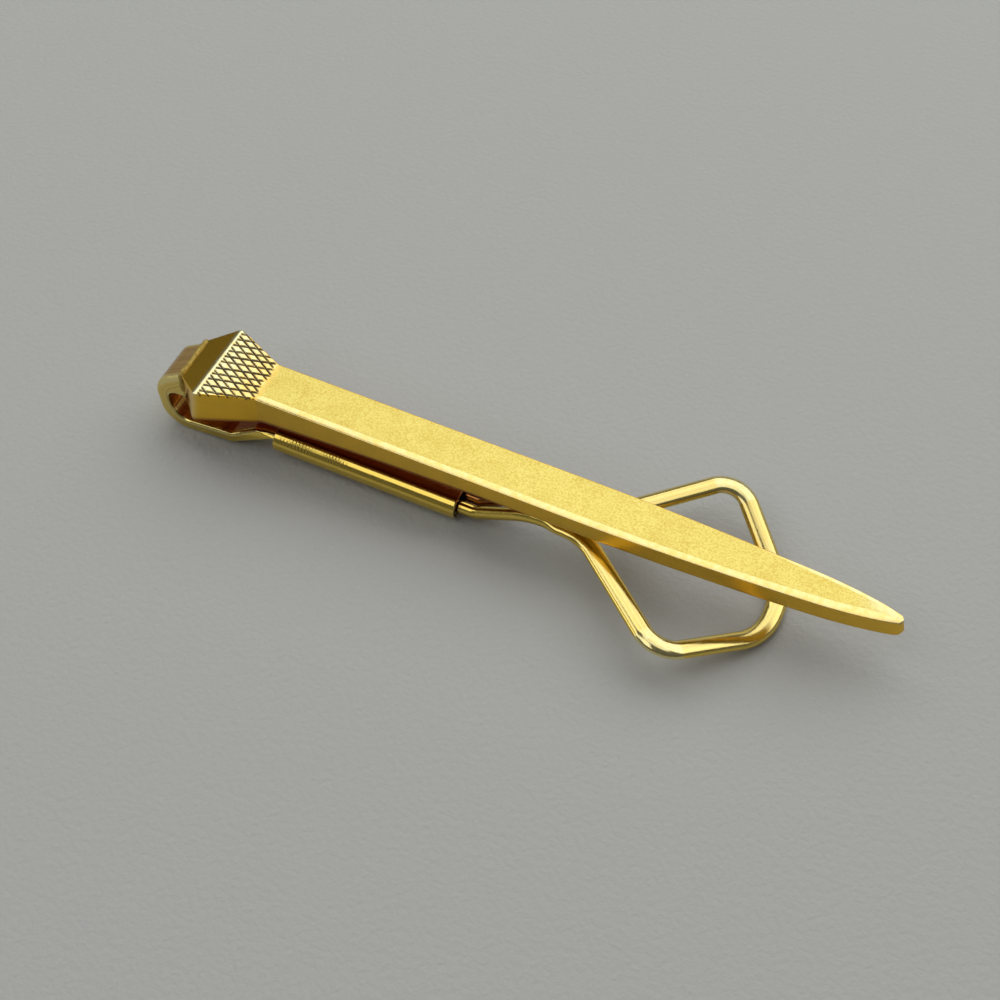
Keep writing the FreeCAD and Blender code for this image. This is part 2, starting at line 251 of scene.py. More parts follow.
def corner_rings(corners, reach, run_shares, arc_steps, reach_out=None, fullness=1.0):
    """Closed rings through four corners per station, each corner rounded by an arc.

    corners is (stations, 4, 3), and reach, from the corner back along its first side, and reach_out,
    ahead along its second, are (stations, 4). An arc leaves its two sides at these reaches from the
    corner C, at A and B, and is the curve ((1-t)^2 A + 2 w t (1-t) C + t^2 B) over the sum of its
    weights, where w is the sine of half the corner's angle times the fullness: 1 gives a round, and less
    comes near a flat bevel. The sides between arcs are straight, with points at the given shares of
    them. Also gives, for each ring place, its side or arc: 0, 2, 4 and 6 are the sides, 1, 3, 5 and 7
    the arcs after them.
    """
    reach_out = reach if reach_out is None else reach_out
    before = unit(np.roll(corners, 1, axis=1) - corners)
    after = unit(np.roll(corners, -1, axis=1) - corners)
    sine = (np.sqrt(np.clip((1 - np.sum(before * after, axis=-1)) / 2, 0, 1)) * fullness)[..., None, None]
    arrive = corners + before * reach[..., None]
    leave = corners + after * reach_out[..., None]
    t = np.linspace(0, 1, arc_steps + 1)[:, None]
    shares = (1 - t) ** 2, 2 * t * (1 - t) * sine, t ** 2
    arcs = shares[0] * arrive[:, :, None] + shares[1] * corners[:, :, None] + shares[2] * leave[:, :, None]
    arcs /= shares[0] + shares[1] + shares[2]
    parts = []
    labels = []
    for side, run in enumerate(run_shares):
        begin = leave[:, side, None]
        end = arrive[:, (side + 1) % 4, None]
        parts += [begin + (end - begin) * run[:, None], arcs[:, (side + 1) % 4]]
        labels += [np.full(len(run), 2 * side), np.full(arc_steps + 1, 2 * side + 1)]
    return np.concatenate(parts, axis=1), np.concatenate(labels)


def inner_shares(count, power=1.0):
    """Places strictly between the two ends of a side, crowded towards its start by a power above 1."""
    return np.linspace(0, 1, count + 2)[1:-1] ** power


def with_poles(rings):
    """Rings with one more at each end, drawn together to the end ring's middle, so that the ends close."""
    first = np.broadcast_to(rings[:1].mean(axis=1, keepdims=True), rings[:1].shape)
    last = np.broadcast_to(rings[-1:].mean(axis=1, keepdims=True), rings[-1:].shape)
    return np.concatenate((first, rings, last))


def grid_object(name, grid, maker, **attributes):
    """Object of a grid of rings, each joined to the next by quads, its doubles merged.

    Quad (i, j) has the corners (i, j), (i, j + 1), (i + 1, j + 1) and (i + 1, j). Each attribute is one
    number for each grid point.
    """
    count, around = grid.shape[:2]
    step, place = np.meshgrid(np.arange(count - 1) * around, np.arange(around), indexing="ij")
    beside = (place + 1) % around
    quads = np.stack((step + place, step + beside, step + around + beside, step + around + place), axis=-1)
    mesh = bpy.data.meshes.new(name)
    mesh.from_pydata(grid.reshape(-1, 3), [], quads.reshape(-1, 4).tolist())
    for key, values in attributes.items():
        layer = mesh.attributes.new(key, "FLOAT", "POINT")
        layer.data.foreach_set("value", np.broadcast_to(values, (count, around)).astype(np.float32).ravel())
    work = bmesh.new()
    work.from_mesh(mesh)
    bmesh.ops.remove_doubles(work, verts=work.verts, dist=1e-7)
    bmesh.ops.dissolve_degenerate(work, edges=work.edges, dist=1e-8)
    work.to_mesh(mesh)
    work.free()
    mesh.shade_smooth()
    mesh.materials.append(finish(maker))
    made = bpy.data.objects.new(name, mesh)
    bpy.context.scene.collection.objects.link(made)
    return made


def make_piece(name, rings, maker, node, body, slot, poles=False, **attributes):
    """Piece of rings given in the nail's frame, its faces outward.

    Poles close its ends where the rings themselves don't, and take the end rings' attributes. The faces
    look inward if their areas times their middles sum to less than nothing, and are turned then. The piece
    stands for its CAD node, if it has one, and rides on the body, if one is given.
    """
    if poles:
        rings = with_poles(rings)
        attributes = {key: np.pad(values, ((1, 1), (0, 0)), "edge") for key, values in attributes.items()}
    grid = stand(rings)
    piece = grid_object(name, grid, maker, **attributes)
    a, d = grid[:-1], grid[1:]
    b, c = np.roll(a, -1, axis=1), np.roll(d, -1, axis=1)
    if np.sum(np.cross(c - a, d - b) * (a + b + c + d)) < 0:
        piece.data.flip_normals()
    if node:
        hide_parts(node)
    if body:
        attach(piece, body)
    return piece


def add_node(tree, kind, out, inputs=(), **settings):
    """Adds a node with its settings, gives its inputs values or links, and hands back the named output.

    The inputs are given by name, or as the first ones in their order.
    """
    made = tree.nodes.new("ShaderNode" + kind)
    for key, value in settings.items():
        setattr(made, key, value)
    for key, value in inputs.items() if isinstance(inputs, dict) else enumerate(inputs):
        if isinstance(value, bpy.types.NodeSocket):
            tree.links.new(value, made.inputs[key])
        else:
            made.inputs[key].default_value = value
    return made.outputs[out] if out else None


def finish(maker):
    """The material that its maker is named for, made once.

    The maker gets the node tree, the socket with places on the piece, and the finishes' colours.
    """
    material = bpy.data.materials.get(maker.__name__)
    if material is None:
        material = bpy.data.materials.new(maker.__name__)
        material.use_nodes = True
        tree = material.node_tree
        tree.nodes.clear()
        maker(tree, add_node(tree, "TexCoord", "Object"), bpy.context.scene.tie_clip_finish)
    return material


def per_mm(size_mm):
    """Scale of a texture, whose unit is one metre, for features of a size in millimetres."""
    return 1 / (size_mm * MM)


def finish_surface(tree, tone, layers, inputs):
    """Lays colours over a tone in turn, each as strongly as its factor says, and ends in the shader."""
    tone = (*tone, 1.0)
    for factor, over in layers:
        tone = add_node(tree, "Mix", "Result", {"Factor": factor, "A": tone, "B": (*over, 1.0)},
                        data_type="RGBA")
    shader = add_node(tree, "BsdfPrincipled", "BSDF", {"Base Color": tone, **inputs})
    add_node(tree, "OutputMaterial", None, {"Surface": shader})


def blasted_gold_plate(tree, place, tones):
    """Gold plate over a brass forging, blasted on its flat front and rubbed bright elsewhere.

    The front is satin: grit of about 0.16 mm scatters the light and speckles it, and the tone drifts a
    little over 1.5 mm. Its paler colour is partly a painted highlight of the lit front. Edges are rubbed
    pale, and the pale band along the near bevel is a painted highlight over that wear. Grooves hold dark,
    dull old polish. The underside's dark red-brown is painted shade.
    """
    satin, groove, wear, tarnish = (add_node(tree, "Attribute", "Fac", attribute_name=name)
                                    for name in ("satin", "groove", "wear", "tarnish"))
    grit = add_node(tree, "TexNoise", "Fac", {"Vector": place, "Scale": per_mm(0.16), "Detail": 2.0,
                                              "Roughness": 0.6})
    drift = add_node(tree, "TexNoise", "Fac", {"Vector": place, "Scale": per_mm(1.5), "Detail": 2.0})
    rub = add_node(tree, "TexNoise", "Fac", {"Vector": place, "Scale": per_mm(0.5), "Detail": 3.0})
    # The satin share squared mixes in the front's paler colour, partly a painted highlight.
    blasted = add_node(tree, "Math", "Value", (satin, 2.0), operation="POWER")
    speckled = add_node(tree, "MapRange", "Result", (grit, 0.42, 0.66, 0.0, 0.65))
    drifting = add_node(tree, "MapRange", "Result", (drift, 0.4, 0.7, 0.0, 0.2))
    mottled = add_node(tree, "Math", "Value", (speckled, satin, drifting), operation="MULTIPLY_ADD")
    rubbed = add_node(tree, "MapRange", "Result", (rub, 0.35, 0.6, 0.6, 1.0))
    # Pale edge wear, and painted highlights where the wear share marks them.
    worn = add_node(tree, "Math", "Value", (wear, rubbed), operation="MULTIPLY")
    bare = add_node(tree, "MapRange", "Result", (groove, 0.0, 1.0, 1.0, 0.3))
    base_rough = add_node(tree, "MapRange", "Result", (satin, 0.0, 0.35, 0.16, 0.36))
    rough = add_node(tree, "Math", "Value", (groove, 0.4, base_rough), operation="MULTIPLY_ADD")
    grain = add_node(tree, "Math", "Value", (grit, satin), operation="MULTIPLY")
    bump = add_node(tree, "Bump", "Normal", {"Height": grain, "Strength": 0.45, "Distance": 0.02 * MM})
    # Layers in turn: front colour, speckle, wear and painted highlights, groove dirt, painted shade.
    layers = ((blasted, tones.satin_gold_and_sheen), (mottled, tones.deep_gold), (worn, tones.worn_and_sheen_gold),
              (groove, tones.dirt_and_painted_shade), (tarnish, tones.tarnish))
    finish_surface(tree, tones.gold, layers, {"Metallic": bare, "Roughness": rough, "Normal": bump})


def tumbled_gold_plate(tree, place, tones):
    """Gold plate over drawn and rolled spring brass, polished by tumbling.

    It mirrors the room softly. Faint tool marks of about 0.4 mm and darker drawing lines 0.3 mm apart
    along each piece, which its lane counts across, break up the reflections. The plate has rubbed pale
    where the metal was bent and along edges. The pale upper side of the loop's wire and the strip's near
    shoulder corner are painted highlights. Faces in shade under the nail and between the parts carry a
    painted shade of dark red-brown, and the inside and mouth of the sleeve a darker painted shade.
    """
    wear, tarnish, lane = (add_node(tree, "Attribute", "Fac", attribute_name=name)
                           for name in ("wear", "tarnish", "lane"))
    drawn = add_node(tree, "TexNoise", "Fac", {"W": lane, "Scale": per_mm(0.3), "Detail": 2.0},
                     noise_dimensions="1D")
    marks = add_node(tree, "TexNoise", "Fac", {"Vector": place, "Scale": per_mm(0.4), "Detail": 4.0,
                                               "Roughness": 0.65})
    streaked = add_node(tree, "MapRange", "Result", (drawn, 0.4, 0.65, 0.0, 0.75))
    rubbed = add_node(tree, "MapRange", "Result", (marks, 0.38, 0.6, 0.65, 1.0))
    # Pale wear at bends and edges, and painted highlights where the wear share marks them.
    worn = add_node(tree, "Math", "Value", (wear, rubbed), operation="MULTIPLY")
    # Darker painted shade where the painted shade share is nearly full: inside and at the sleeve's mouth.
    deep_painted_shade = add_node(tree, "MapRange", "Result", (tarnish, 0.92, 1.0, 0.0, 1.0))
    rough = add_node(tree, "MapRange", "Result", (marks, 0.3, 0.7, 0.1, 0.22))
    lines = add_node(tree, "Bump", "Normal", {"Height": drawn, "Strength": 0.5, "Distance": 0.02 * MM})
    bump = add_node(tree, "Bump", "Normal", {"Height": marks, "Strength": 0.12, "Distance": 0.02 * MM,
                                             "Normal": lines})
    # Layers in turn: drawing lines, wear and painted highlights, painted shade, deeper painted shade.
    layers = ((streaked, tones.deep_gold), (worn, tones.worn_and_sheen_gold), (tarnish, tones.tarnish),
              (deep_painted_shade, tones.dirt_and_painted_shade))
    finish_surface(tree, tones.clip_gold, layers, {"Metallic": 1.0, "Roughness": rough, "Normal": bump})


def gold_plated_solder(tree, place, tones):
    """Solder plated with the rest: duller than the sheet, and lumpy over about 0.3 mm."""
    lumps = add_node(tree, "TexNoise", "Fac", {"Vector": place, "Scale": per_mm(0.3), "Detail": 3.0})
    stained = add_node(tree, "MapRange", "Result", (lumps, 0.35, 0.7, 0.0, 0.3))
    rough = add_node(tree, "MapRange", "Result", (lumps, 0.3, 0.7, 0.45, 0.7))
    bump = add_node(tree, "Bump", "Normal", {"Height": lumps, "Strength": 0.2, "Distance": 0.03 * MM})
    finish_surface(tree, tones.solder, ((stained, tones.dirt_and_painted_shade),),
                   {"Metallic": 1.0, "Roughness": rough, "Normal": bump})


def roller_painted_board(tree, place, tones):
    """Board with matt pale grey paint, whose roller stipple of about 0.5 mm is only just there."""
    stipple = add_node(tree, "TexNoise", "Fac", {"Vector": place, "Scale": per_mm(0.5), "Detail": 2.0})
    bump = add_node(tree, "Bump", "Normal", {"Height": stipple, "Strength": 1.0, "Distance": 0.1 * MM})
    finish_surface(tree, tones.board, (), {"Roughness": 0.7, "Normal": bump})


def arc_radius(half_chord, rise):
    """Radius of the arc that rises so far over its chord: (half chord^2 + rise^2) / (2 rise)."""
    return (half_chord ** 2 + rise ** 2) / (2 * rise)


def shank_half_width(nail, x):
    """Half the shank's width along it: straight, then two arcs that each carry on the last one's direction.

    An arc from (x0, y0) with downward angle a that reaches (x1, y1) has a chord at angle c, turns by
    2 (c - a), and has radius chord / (2 sin(c - a)). The nose is one more arc, across the nail's end.
    """
    tip = nail.shank_length - nail.nose_length
    shoulder = nail.shank_length - nail.shoulder_back
    places = np.array(((nail.point_start, nail.shank_width), (shoulder, nail.shoulder_width),
                       (tip, nail.nose_width)))
    places[:, 1] /= 2
    half = np.full_like(x, nail.shank_width / 2)
    angle = 0.0
    for (x0, y0), (x1, y1) in zip(places, places[1:]):
        chord = math.atan2(y0 - y1, x1 - x0)
        radius = math.hypot(x1 - x0, y0 - y1) / (2 * math.sin(chord - angle))
        centre_x = x0 - radius * math.sin(angle)
        centre_y = y0 - radius * math.cos(angle)
        on_arc = centre_y + np.sqrt(np.clip(radius ** 2 - (x - centre_x) ** 2, 0, None))
        half = np.where(x > x0, on_arc, half)
        angle = 2 * chord - angle
    nose_radius = arc_radius(nail.nose_width / 2, nail.nose_length)
    nose_x = nail.shank_length - nose_radius
    return np.where(x > tip, np.sqrt(np.clip(nose_radius ** 2 - (x - nose_x) ** 2, 0, None)), half)


def shank_underside(nail, x):
    """Height of the underside: an arc of a large circle that levels out at the end of the heel run."""
    radius = arc_radius(nail.heel_run, nail.heel_thick - nail.shank_thick)
    back = np.clip(nail.heel_run - x, 0, None)
    return -nail.shank_thick - (radius - np.sqrt(radius ** 2 - back ** 2))


def cut_grooves(nail, x, y):
    """Depth of the two crossed sets of grooves, 0 to 1, at places along and across the head.

    Each set has lines at an angle to the nail, one pitch apart across it. The depth is 1.15 less the
    distance from a line over half a groove's width, kept between 0 and 1. Sines of the line's number
    make each line a little uneven, as cuts by hand are: in place, in depth, and in where it stops
    before the neck.
    """
    depth = np.zeros_like(x)
    for angle, phase in ((-29.0, 0.4), (17.0, 2.1)):
        slope = math.tan(math.radians(angle))
        line = (y - (x + nail.head_length / 2) * slope) / nail.groove_pitch
        number = np.round(line)
        line = line + 0.05 * np.sin(1.9 * number + phase) + 0.03 * np.sin(x / (1.1 * MM) + 2.3 * number)
        away = np.abs(line - number) * nail.groove_pitch * math.cos(math.radians(angle))
        cut = np.clip(1.15 - away / (nail.groove_width / 2), 0, 1)
        cut = cut * (0.86 + 0.14 * np.sin(2.7 * number + phase))
        stop = (-0.16 + 0.12 * np.sin(4.3 * number + phase)) * MM
        start = -nail.head_length + 0.16 * MM
        cut = cut * smooth(start - 0.08 * MM, start + 0.08 * MM, x)
        cut = cut * (1 - smooth(stop - 0.12 * MM, stop + 0.12 * MM, x))
        depth = np.maximum(depth, cut)
    return depth


class TIECLIP_OT_nail_bar(bpy.types.Operator):
    """Builds the nail: a lofted shank and head with worn edges, a painted highlight on the near bevel,
    painted shade underneath, and a cross-cut face
    """

    bl_idname = "tie_clip.nail_bar"
    bl_label = "Nail bar"

    def execute(self, context):
        nail = context.scene.tie_clip_nail
        half = nail.shank_width / 2
        ridge_x = -nail.head_length
        end_x = ridge_x - nail.end_taper
        foot_x = ridge_x - nail.ridge_lean
        flare = (nail.head_width / 2 - half) / nail.head_length
        end_low = -nail.end_drop - nail.end_height
        start_x = 3 * MM
        end_round = 0.2 * MM
        neck_round = 0.8 * MM
        underside_round = 0.75 * MM
        middle = (end_x, 0, -nail.end_drop - nail.end_height / 2)
        # Two lines run along the nail through the upper and the lower corners of its section. With their
        # mirror images they give four corners at each station, which a ring with rounded corners joins.
        front = [middle, (end_x, nail.end_width / 2, -nail.end_drop),
                 (ridge_x, nail.head_width / 2, nail.ridge_rise), (0, half, 0), (start_x, half, 0)]
        back = [middle, (end_x, nail.end_width / 2, end_low),
                (foot_x, half - flare * foot_x, -nail.heel_thick), (0, half, -nail.heel_thick),
                (start_x, half, shank_underside(nail, start_x))]
        radii = (end_round, nail.ridge_round, neck_round)
        steps = (4, 16, 112, 8)
        arc_steps = 8
        tip = nail.shank_length - nail.nose_length
        nose_radius = arc_radius(nail.nose_width / 2, nail.nose_length)
        swing = math.acos((nose_radius - nail.nose_length) / nose_radius)
        nose = nail.shank_length - nose_radius + nose_radius * np.cos(np.linspace(swing, 0, 10))
        x = np.concatenate((np.linspace(start_x, nail.point_start, 40)[1:],
                            np.linspace(nail.point_start, tip, 70)[1:], nose[1:]))
        width = shank_half_width(nail, x)
        to_end = nail.shank_length - x
        droop = nail.nose_droop * np.clip(1 - to_end / nail.droop_run, 0, 1) ** 2
        setback = nail.nose_setback * (1 - smooth(0, 2.5 * MM, to_end))
        lift = underside_round * (1 - np.sqrt(1 - np.clip(1 - to_end / underside_round, 0, 1) ** 2))
        front = np.concatenate((rounded_path(front, radii, steps, arc_steps),
                                np.stack((x - setback, width, -droop), axis=1)))
        back = np.concatenate((rounded_path(back, radii, steps, arc_steps),
                               np.stack((x, width, shank_underside(nail, x) + lift), axis=1)))
        corners = mirrored_corners(front, back)
        along = front[:, 0]
        on_shank = smooth(-0.25 * MM, 0.5 * MM, along)
        to_tip = smooth(40 * MM, nail.shank_length, along)
        on_point = smooth(41 * MM, 48 * MM, along)
        far_top = nail.far_edge + (nail.point_edge - nail.far_edge) * on_point
        far_drop = nail.far_edge * (1 - 0.7 * on_point)
        far_in, far, near, drop, low = (nail.head_round + (value - nail.head_round) * on_shank for value in (
            far_drop, far_top, nail.near_edge * (1 + 0.3 * to_tip), nail.near_drop * (1 + 0.2 * to_tip),
            nail.back_round))
        far, near, low_across = (np.minimum(value, 0.8 * front[:, 1]) for value in (far, near, low))
        reach = np.stack((far_in, near, low, low_across), axis=1)
        reach_out = np.stack((far, drop, low_across, low), axis=1)
        fullness = np.ones_like(reach)
        fullness[:, 1] = 1 - 0.6 * on_shank
        side = inner_shares(12, 1.6)
        runs = (inner_shares(180), side, inner_shares(22), 1 - side[::-1])
        rings, label = corner_rings(corners, reach, runs, 8, reach_out, fullness)
        below = front[:, 2, None] - rings[..., 2]
        cut = cut_grooves(nail, rings[..., 0], rings[..., 1]) * np.clip(1 - below / (0.3 * MM), 0, 1)
        rings[..., 2] -= nail.groove_depth * cut
        ridge_far = np.abs(along - ridge_x) / nail.ridge_round
        end_far = np.abs(along - end_x) / end_round
        on_head = smooth(ridge_x - 0.1 * MM, ridge_x + 0.1 * MM, along) * (1 - on_shank)
        on_top = np.isin(label, (0, 1, 7))
        rim = np.maximum(1 - smooth(0.35, 1.0, ridge_far), 0.7 * (1 - smooth(0.5, 1.3, end_far)))[:, None]
        wear = rim * np.where(on_top, 1.0, 0.25)
        to_ridge = smooth(0, nail.head_length, -along)
        wear = np.maximum(wear, ((0.5 + 0.45 * to_ridge) * on_head)[:, None] * (label == 0))
        # Painted highlight: the pale band along the near bevel of the shank.
        wear = np.maximum(wear, 0.6 * on_shank[:, None] * (label == 1))
        wear = np.maximum(wear, (0.2 + 0.5 * on_point * on_shank)[:, None] * (label == 7))
        tip_wear = 0.8 * smooth(50.5 * MM, 54.5 * MM, along)[:, None] * smooth(-0.8, 0.4, rings[..., 1] / MM)
        wear = np.maximum(wear, tip_wear * (label == 0))
        # The satin share also mixes in the front's paler colour, partly a painted highlight.
        satin = np.where(label == 0, 1.0, np.where(label % 2 == 0, 0.3, 0.1)) * on_shank[:, None]
        # Painted shade on the underside of the nail's back half, over the strip and the sleeve.
        tarnish = np.isin(label, (3, 4, 5)) * (0.85 * (1 - smooth(19 * MM, 27 * MM, along)))[:, None]
        make_piece("nail", rings, blasted_gold_plate, "nail_bar", "front", "satin_gold_plate",
                   groove=smooth(0.25, 0.7, cut), wear=wear, satin=satin, tarnish=tarnish)
        return {"FINISHED"}


class TIECLIP_OT_solder_seam(bpy.types.Operator):
    """Builds the film of solder between the nail's head and the strip, and the bead round it"""

    bl_idname = "tie_clip.solder_seam"
    bl_label = "Solder seam"

    def execute(self, context):
        nail = context.scene.tie_clip_nail
        clip = context.scene.tie_clip_back
        # The film is a plate with rounded corners. Its width and its top swell as a sine between its faces.
        share = np.linspace(0, 1, 9)
        swell = np.sin(math.pi * share)
        x = -nail.head_length - nail.end_taper - clip.seam * share
        half = nail.end_width / 2 - 0.05 * MM + 0.05 * MM * swell
        top = -nail.end_drop - 0.16 * MM + 0.05 * MM * swell
        low = np.full_like(x, -nail.end_drop - nail.end_height + 0.02 * MM)
        corners = mirrored_corners(*(np.stack((x, half, level), axis=1) for level in (top, low)))
        reach = np.full(corners.shape[:2], 0.2 * MM)
        rings = corner_rings(corners, reach, [inner_shares(12)] * 4, 5)[0]
        make_piece("seam", rings, gold_plated_solder, "solder_seam", "front", "plated_solder", poles=True)
        # The bead is a circle carried along the joint. Its radius is uneven by two sines of the run, and
        # falls to nothing at both ends as a square root.
        joint_x = x.mean()
        bead_half = nail.end_width / 2 - 0.06 * MM
        bead_top = -nail.end_drop - 0.1 * MM
        bead_low = low[0] + 0.3 * MM
        line = [(joint_x, -bead_half, bead_low), (joint_x, -bead_half, bead_top),
                (joint_x, bead_half, bead_top), (joint_x, bead_half, bead_low)]
        path = rounded_path(line, (0.25 * MM, 0.25 * MM), (24, 48, 24), 10)
        heading = unit(np.gradient(path, axis=0))
        out = np.cross(heading, (1.0, 0, 0))
        turn = np.linspace(0, 2 * math.pi, 20, endpoint=False)[:, None]
        run = np.linspace(0, 1, len(path))
        uneven = 1 + 0.08 * np.sin(23 * run) + 0.04 * np.sin(61 * run + 1)
        full = np.sqrt(np.clip(np.minimum(run, 1 - run) / 0.04, 0, 1))
        radius = (clip.bead * uneven * full)[:, None, None]
        bead = out[:, None] * np.cos(turn) + np.array((1.0, 0, 0)) * np.sin(turn)
        bead = path[:, None] + radius * bead
        make_piece("solder_bead", bead, gold_plated_solder, None, "front", "plated_solder", poles=True)
        return {"FINISHED"}


def strip_sides(nail, clip):
    """Side view of the strip, along and up: its outer line and its inner one, point for point.

    Both run from the root on the head's end, round the bend, along the leg under the nail, up the kink
    and into the sleeve, as straight runs with an arc at each corner.
    """
    root_x = -nail.head_length - nail.end_taper - clip.seam
    root_top = -nail.end_drop - clip.root_drop
    root_low = root_top - clip.root_height
    bend_x = root_x - clip.bend_reach
    wall = clip.bend_wall
    lean = clip.bend_lean
    shoulder = root_top - clip.bend_reach * math.tan(clip.bend_fall)
    leg_low = -clip.leg_low
    kink = np.array((-clip.kink_back, leg_low + clip.kink_rise))
    leg_top = np.array((0, clip.leg_thick))
    tongue_low = -clip.sleeve_low + clip.sleeve_height / 2 + clip.tongue_lift
    tongue_top = tongue_low + clip.tongue_thick
    tongue_end = clip.sleeve_start + clip.tongue_length
    outer = [(root_x, root_top), (bend_x, shoulder), (bend_x + lean, leg_low), kink,
             (clip.sleeve_start, tongue_low), (tongue_end, tongue_low)]
    inner = [(root_x, root_low), (bend_x + wall, root_low), (bend_x + lean + wall, leg_low + clip.leg_thick),
             kink + leg_top, (-1.0 * MM, tongue_top), (tongue_end, tongue_top)]
    steps = (12, 12, 14, 12, 10)
    return (rounded_path(outer, np.array((2.6, 2.4, 0.6, 0.8)) * MM, steps, 16),
            rounded_path(inner, np.array((1.2, 1.6, 0.6, 0.8)) * MM, steps, 16))


class TIECLIP_OT_back_strip(bpy.types.Operator):
    """Builds the spring strip, bent round behind the head; it flexes between nail and clip"""

    bl_idname = "tie_clip.back_strip"
    bl_label = "Back strip"

    def execute(self, context):
        nail = context.scene.tie_clip_nail
        clip = context.scene.tie_clip_back
        outer, inner = strip_sides(nail, clip)
        along = (outer[:, 0] + inner[:, 0]) / 2
        narrowing = np.clip((along + clip.kink_back) / (clip.sleeve_start + clip.kink_back), 0, 1)
        run = np.linspace(0, 1, len(along))
        on_leg = smooth(0.45, 0.5, run)
        half = (clip.strip_width + (clip.tongue_width - clip.strip_width) * narrowing * on_leg) / 2
        # The outer and the inner line, at half the width to both sides, are the section's four corners.
        corners = mirrored_corners(*(np.insert(line, 1, half, axis=1) for line in (outer, inner)))
        thick = np.linalg.norm(outer - inner, axis=1)
        reach = np.repeat(np.minimum(clip.strip_round, 0.3 * thick)[:, None], 4, axis=1)
        shoulder = (1 - smooth(0.14, 0.2, run))[:, None] * np.array((0, 1.0, 0, 0))
        reach = reach * (1 + 0.5 * shoulder)
        rings, label = corner_rings(corners, reach, (inner_shares(16), inner_shares(8), inner_shares(16),
                                                     inner_shares(8)), 6, fullness=1 - 0.5 * shoulder)
        at_bend = 1 - smooth(-6.5 * MM, -4 * MM, along)
        wear = np.maximum(0.35 * (label % 2 == 1), 0.12 * at_bend[:, None] * np.isin(label, (2, 6)))
        # Painted highlight on the near corner of the shoulder.
        wear = np.maximum(wear, 0.5 * shoulder[:, 1:2] * (label == 1))
        # Painted shade on the inner face, which faces the nail across the gap, and on the shoulder's top.
        tarnish = (0.9 - 0.25 * at_bend)[:, None] * (label == 4)
        tarnish = np.maximum(tarnish, 0.5 * shoulder[:, 1:2] * (label == 0))
        depth = np.linalg.norm(rings - corners[:, :1] * (1, 0, 1) - rings * (0, 1, 0), axis=2)
        lane = rings[..., 1] + depth
        strip = make_piece("strip", rings, tumbled_gold_plate, "back_strip", None, "polished_gold_plate",
                           poles=True, wear=wear, tarnish=tarnish, lane=lane)
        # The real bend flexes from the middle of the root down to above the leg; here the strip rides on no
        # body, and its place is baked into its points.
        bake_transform(strip)
        return {"FINISHED"}


